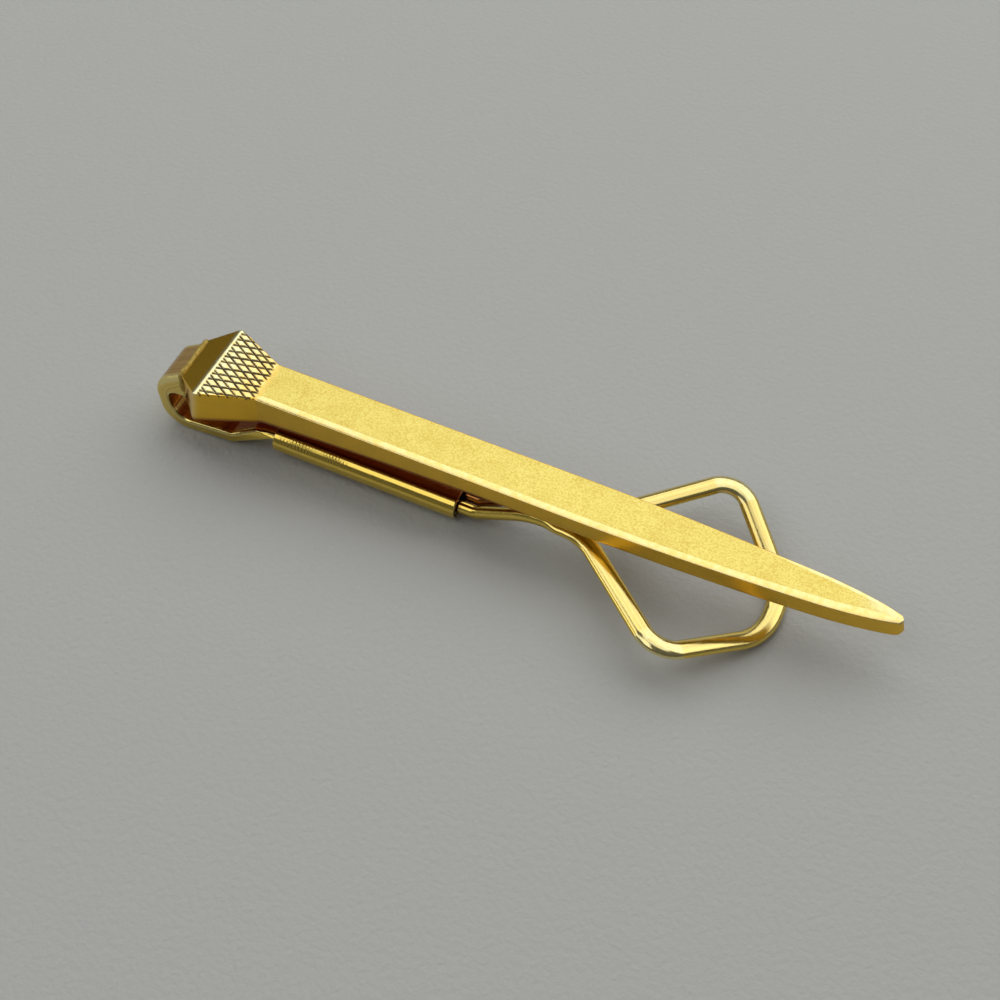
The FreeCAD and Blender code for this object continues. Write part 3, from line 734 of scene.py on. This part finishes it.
class TIECLIP_OT_crimp_sleeve(bpy.types.Operator):
    """Builds the sleeve: sheet rolled into a flat tube, with crimping marks along one edge"""

    bl_idname = "tie_clip.crimp_sleeve"
    bl_label = "Crimp sleeve"

    def execute(self, context):
        clip = context.scene.tie_clip_back
        half = (clip.sleeve_width - clip.sleeve_wall) / 2
        low = -clip.sleeve_low + clip.sleeve_wall / 2
        top = low + clip.sleeve_height - clip.sleeve_wall
        gap = clip.sleeve_seam / 2
        radius = 0.49 * (top - low)
        # The section's middle line is carried along the sleeve. The walls lie half the sheet's thickness to
        # both sides of it, and the crimping marks and dents are sines taken off the outer one.
        section = [(gap, low), (half, low), (half, top), (-half, top), (-half, low), (-gap, low)]
        middle = rounded_path(section, [radius] * 4, (6, 1, 10, 1, 6), 14)
        heading = unit(np.gradient(middle, axis=0))
        outward = np.stack((heading[:, 1], -heading[:, 0]), axis=1)
        end = clip.sleeve_start + clip.sleeve_length
        lip_round = 0.12 * MM
        mouth_run = 0.4 * MM
        marked_to = 10.5 * MM
        entry = 1 - np.cos(np.linspace(0, math.pi / 2, 7))
        bell = np.cos(np.linspace(0, math.pi / 2, 14))
        x = np.concatenate((clip.sleeve_start + lip_round * entry[:-1],
                            np.linspace(clip.sleeve_start + lip_round, marked_to, 330),
                            np.linspace(marked_to, end - mouth_run, 50)[1:], end - mouth_run * bell[1:]))
        from_end = np.minimum(x - x[0], x[-1] - x) / lip_round
        ends = np.sqrt(1 - np.clip(1 - from_end, 0, 1) ** 2)
        mouth = np.clip(1 - (end - x) / mouth_run, 0, 1)[:, None]
        near = smooth(0.3, 0.7, outward[:, 1]) * smooth(0.12, 0.4, -outward[:, 0])
        uneven = 0.7 + 0.3 * np.sin(x / (0.53 * MM) + 1)
        stretch = smooth(1.2 * MM, 1.8 * MM, x) * (1 - smooth(5.5 * MM, 10.3 * MM, x)) * uneven
        ripple = np.sin(2 * math.pi * x / clip.ripple_pitch + 1.6 * np.sin(x / (0.9 * MM)))
        ripple = clip.ripple_depth * (0.5 * ripple - 0.5)[:, None] * stretch[:, None] * near[None, :]
        around = np.linspace(0, 1, len(middle))[None, :]
        dents = np.sin(x / (0.41 * MM))[:, None] * np.sin(9 * around + x[:, None] / (0.93 * MM))
        ripple = ripple + clip.sleeve_dents * (0.5 * dents - 0.5) * ends[:, None]
        thick = (clip.sleeve_wall / 2 * ends)[:, None]
        outer = middle[None] + outward[None] * (thick + ripple)[..., None]
        inner = middle[None] - outward[None] * (thick * (1 - 1.5 * mouth))[..., None]
        # The sheet's two edges are half ellipses from one wall to the other.
        lip = np.linspace(-1, 1, 7)[1:-1, None]
        bulge = 0.4 * thick[..., None] * np.sqrt(1 - lip ** 2)
        first, last = (start + (stop - start) * (1 + lip) / 2 + bulge * way for start, stop, way in (
            (inner[:, :1], outer[:, :1], -heading[0]), (outer[:, -1:], inner[:, -1:], heading[-1])))
        loop = np.concatenate((first, outer, last, inner[:, ::-1]), axis=1)
        rings = np.concatenate((np.broadcast_to(x[:, None, None], (*loop.shape[:2], 1)), loop), axis=2)
        ways = len(outward)
        # Painted shade on the top under the nail, and a darker painted shade on the sheet's edges and the
        # inner wall.
        hidden = smooth(0.93, 0.99, outward[:, 1])
        tarnish = np.concatenate((np.ones(5), 0.85 * hidden, np.ones(5 + ways)))[None]
        rubbed_low = smooth(13 * MM, 17 * MM, x)[:, None] * smooth(-0.2, 0.5, -loop[..., 1] / MM - 5.9)
        wear = 0.25 * (1 - smooth(0.0, 2.5, from_end))[:, None] + 0.45 * rubbed_low
        make_piece("sleeve", rings, tumbled_gold_plate, "crimp_sleeve", "clip", "polished_gold_plate",
                   wear=np.clip(wear, 0, 0.7), tarnish=tarnish, lane=loop[..., 0] + 0.7 * loop[..., 1])
        return {"FINISHED"}


class TIECLIP_OT_wire_loop(bpy.types.Operator):
    """Builds the spring wire: two round legs out of the sleeve, then a flattened loop"""

    bl_idname = "tie_clip.wire_loop"
    bl_label = "Wire loop"

    def execute(self, context):
        clip = context.scene.tie_clip_back
        nail = context.scene.tie_clip_nail
        leg_y = (clip.sleeve_width - clip.sleeve_height) / 2
        leg_z = -clip.sleeve_low + clip.sleeve_height / 2
        waist_z = -nail.shank_thick - clip.waist_gap - clip.wire / 2
        out = clip.sleeve_start + clip.sleeve_length
        climb = out + clip.climb_start
        waist = climb + clip.climb_run
        fork = waist + clip.waist_run
        near = np.array([
            (clip.sleeve_start + clip.wire_inset, -leg_y, leg_z),
            (climb, -leg_y, leg_z),
            (waist, -leg_y, waist_z),
            (fork, -leg_y, waist_z),
            (fork + clip.corner_reach, -clip.corner_side, waist_z + clip.corner_rise),
            (fork + clip.end_reach, -clip.end_side, waist_z - clip.end_fall),
        ])
        far = near[::-1] * (1, -1, 1)
        far[-2:, 1] = clip.far_leg
        radii = np.array((1.8, 6.0, 5.0, 2.3, 5.0)) * MM
        steps = (20, 14, 18, 16, 12)
        path = rounded_path(np.concatenate((near, far)), np.concatenate((radii, radii[::-1])),
                            (*steps, 10, *steps[::-1]), 20)
        heading = unit(np.gradient(path, axis=0))
        side = unit(np.cross(heading, (0, 0, 1)))
        above = np.cross(side, heading)
        flat = smooth(fork - 3.6 * MM, fork - 2.0 * MM, path[:, 0])[:, None]
        half_width = (clip.wire + (clip.loop_wire_width - clip.wire) * flat) / 2
        half_thick = (clip.wire + (clip.loop_wire_thick - clip.wire) * flat) / 2
        # An ellipse carried along the path: path + side (half width) cos t + above (half thickness) sin t.
        turn = np.linspace(0, 2 * math.pi, 56, endpoint=False)[None, :]
        wide = half_width * np.cos(turn)
        high = half_thick * np.sin(turn)
        rings = path[:, None] + side[:, None] * wide[..., None] + above[:, None] * high[..., None]
        bends = np.linalg.norm(np.gradient(heading, axis=0), axis=1)
        bends = bends / np.linalg.norm(np.gradient(path, axis=0), axis=1) * MM
        wear = 0.7 * smooth(0.25, 0.45, bends)[:, None] * (path[:, 0] > fork)[:, None]
        # Painted highlight along the upper side of the flattened loop.
        wear = np.maximum(wear, 0.35 * flat * smooth(0.3, 0.8, np.sin(turn)))
        # Painted shade on the far leg under the nail, and a darker painted shade inside the sleeve and at
        # its mouth.
        hidden = 0.8 * (1 - smooth(24 * MM, 28 * MM, path[:, 0])) * (path[:, 1] > 0)
        inside = 1 - smooth(out + 0.1 * MM, out + 0.35 * MM, path[:, 0])
        tarnish = np.maximum(inside, hidden)[:, None]
        make_piece("wire", rings, tumbled_gold_plate, "wire_loop", "clip", "polished_gold_plate",
                   poles=True, wear=wear, tarnish=tarnish, lane=wide + 0.7 * high)
        return {"FINISHED"}


def brightness(name, what, default):
    """The brightness of a light, as the sidebar shows it."""
    return FloatProperty(name=name, description=f"Brightness of {what}", default=default, min=0)


class StageSettings(bpy.types.PropertyGroup):
    """Light and camera, set to the photograph's."""

    box_strength: brightness("Softbox", "the large softbox behind", 1.4)
    left_strength: brightness("Left box", "the softbox at the left", 1.25)
    top_strength: brightness("Top box", "the small softbox overhead", 1.0)
    front_strength: brightness("Front box", "the softbox in front", 1.2)
    side_strength: brightness("Side light", "the small low light beside the head", 2.2)
    room_strength: brightness("Room", "the dim room around", 0.12)
    lens: FloatProperty(name="Lens", description="Focal length, for a 36 mm sensor", default=61.2,
                        subtype="DISTANCE_CAMERA")
    heading: tilt("Heading", "Turn of the view from straight across the nail", -24.47)
    height: tilt("Height", "Angle of the view above the nail's front", 53.48)
    roll: tilt("Roll", "Roll of the camera", 0.68)
    place: FloatVectorProperty(name="Camera", description="Place along, across and up from the neck",
                               default=(55.9 * MM, -75.6 * MM, 108.0 * MM), subtype="TRANSLATION",
                               unit="LENGTH")


def add_softbox(name, middle, size, strength, aim=(0, 0, -1)):
    """Soft light that faces the way of its aim. Its power is its brightness times pi times its area."""
    lamp = bpy.data.lights.new(name, "AREA")
    lamp.shape = "RECTANGLE"
    lamp.size, lamp.size_y = size
    lamp.energy = strength * math.pi * size[0] * size[1]
    box = bpy.data.objects.new(name, lamp)
    box.location = middle
    box.rotation_euler = Vector(aim).to_track_quat("-Z", "Y").to_euler()
    bpy.context.scene.collection.objects.link(box)


class TIECLIP_OT_stage(bpy.types.Operator):
    """Builds the stage: a pale board that sweeps up at its rim, soft light from above, and the camera"""

    bl_idname = "tie_clip.stage"
    bl_label = "Stage"

    def execute(self, context):
        stage = context.scene.tie_clip_stage
        # The board is flat out to its radius, and there a quarter circle, radius + sweep sin b along and
        # sweep (1 - cos b) up, is carried round it.
        flat_radius = 0.8
        sweep = 0.3
        bend = np.linspace(0, math.pi / 2, 24)
        radius = np.concatenate((np.linspace(0, flat_radius, 12)[:-1], flat_radius + sweep * np.sin(bend)))
        rise = np.concatenate((np.zeros(11), sweep * (1 - np.cos(bend))))
        turn = -np.linspace(0, 2 * math.pi, 96, endpoint=False)
        radius = radius[:, None]
        bowl = np.broadcast_arrays(radius * np.cos(turn), radius * np.sin(turn), rise[:, None])
        board = grid_object("board", np.stack(bowl, axis=-1), roller_painted_board)

        world = bpy.data.worlds.new("dim_room")
        context.scene.world = world
        world.use_nodes = True
        world.node_tree.nodes.clear()
        glow = add_node(world.node_tree, "Background", "Background", {"Color": (1.0, 1.0, 1.0, 1.0),
                                                                      "Strength": stage.room_strength})
        add_node(world.node_tree, "OutputWorld", None, {"Surface": glow})
        add_softbox("softbox", (0.25, 0.71, 0.6), (1.5, 1.18), stage.box_strength)
        add_softbox("left_box", (-0.725, 0.05, 0.6), (0.45, 0.9), stage.left_strength)
        add_softbox("top_box", (0.075, 0.02, 0.6), (0.55, 0.2), stage.top_strength)
        add_softbox("front_box", (-0.25, -0.425, 0.6), (0.4, 0.65), stage.front_strength)
        add_softbox("side_light", (-1.0, -0.3, 0.28), (0.4, 0.2), stage.side_strength, (1.0, 0.3, -0.28))

        # The camera looks along heading and height, both in the nail's frame, and is rolled about that line.
        ahead = np.array((math.sin(stage.heading) * math.cos(stage.height),
                          math.cos(stage.heading) * math.cos(stage.height), -math.sin(stage.height)))
        level = np.array((math.cos(stage.heading), -math.sin(stage.heading), 0.0))
        over = np.cross(level, ahead)
        right = level * math.cos(stage.roll) + over * math.sin(stage.roll)
        over = np.cross(right, ahead)
        turned = np.stack((right, over, -ahead)) @ np.array((ALONG, ACROSS, UP))
        lens = bpy.data.cameras.new("camera")
        lens.lens = stage.lens
        lens.sensor_width = 36
        lens.clip_start, lens.clip_end = 0.005, 10
        camera = bpy.data.objects.new("camera", lens)
        matrix = np.eye(4)
        matrix[:3, :3] = turned.T
        matrix[:3, 3] = stand(np.array(stage.place))
        camera.matrix_world = Matrix(matrix.tolist())
        context.scene.collection.objects.link(camera)
        context.scene.camera = camera
        context.scene.view_settings.view_transform = "Standard"
        return {"FINISHED"}


OPERATORS = (TIECLIP_OT_nail_bar, TIECLIP_OT_solder_seam, TIECLIP_OT_back_strip, TIECLIP_OT_crimp_sleeve,
             TIECLIP_OT_wire_loop, TIECLIP_OT_stage)
GROUPS = {"tie_clip_nail": NailSizes, "tie_clip_back": ClipSizes, "tie_clip_finish": Finishes,
          "tie_clip_stage": StageSettings}


class TIECLIP_PT_pieces(bpy.types.Panel):
    """Lists the pieces of the tie clip and what can be changed on them"""

    bl_idname = "TIECLIP_PT_pieces"
    bl_label = "Tie clip"
    bl_space_type = "VIEW_3D"
    bl_region_type = "UI"
    bl_category = "Tie clip"

    def draw(self, context):
        for operator in OPERATORS:
            self.layout.operator(operator.bl_idname)
        for name, group in GROUPS.items():
            box = self.layout.box()
            box.label(text=group.__doc__)
            for key in group.__annotations__:
                box.prop(getattr(context.scene, name), key)


def register():
    """Registers the classes and hangs the settings on the scene."""
    for made in (*GROUPS.values(), *OPERATORS, TIECLIP_PT_pieces):
        bpy.utils.register_class(made)
    for name, group in GROUPS.items():
        setattr(bpy.types.Scene, name, PointerProperty(type=group))


def unregister():
    """Takes the settings off the scene and the classes out again."""
    for name in GROUPS:
        delattr(bpy.types.Scene, name)
    for made in (TIECLIP_PT_pieces, *reversed(OPERATORS), *reversed(GROUPS.values())):
        bpy.utils.unregister_class(made)


def main():
    """Registers the classes, and builds every piece and the stage."""
    register()
    bpy.ops.tie_clip.nail_bar()
    bpy.ops.tie_clip.solder_seam()
    bpy.ops.tie_clip.back_strip()
    bpy.ops.tie_clip.crimp_sleeve()
    bpy.ops.tie_clip.wire_loop()
    bpy.ops.tie_clip.stage()


if __name__ == "__main__":
    main()
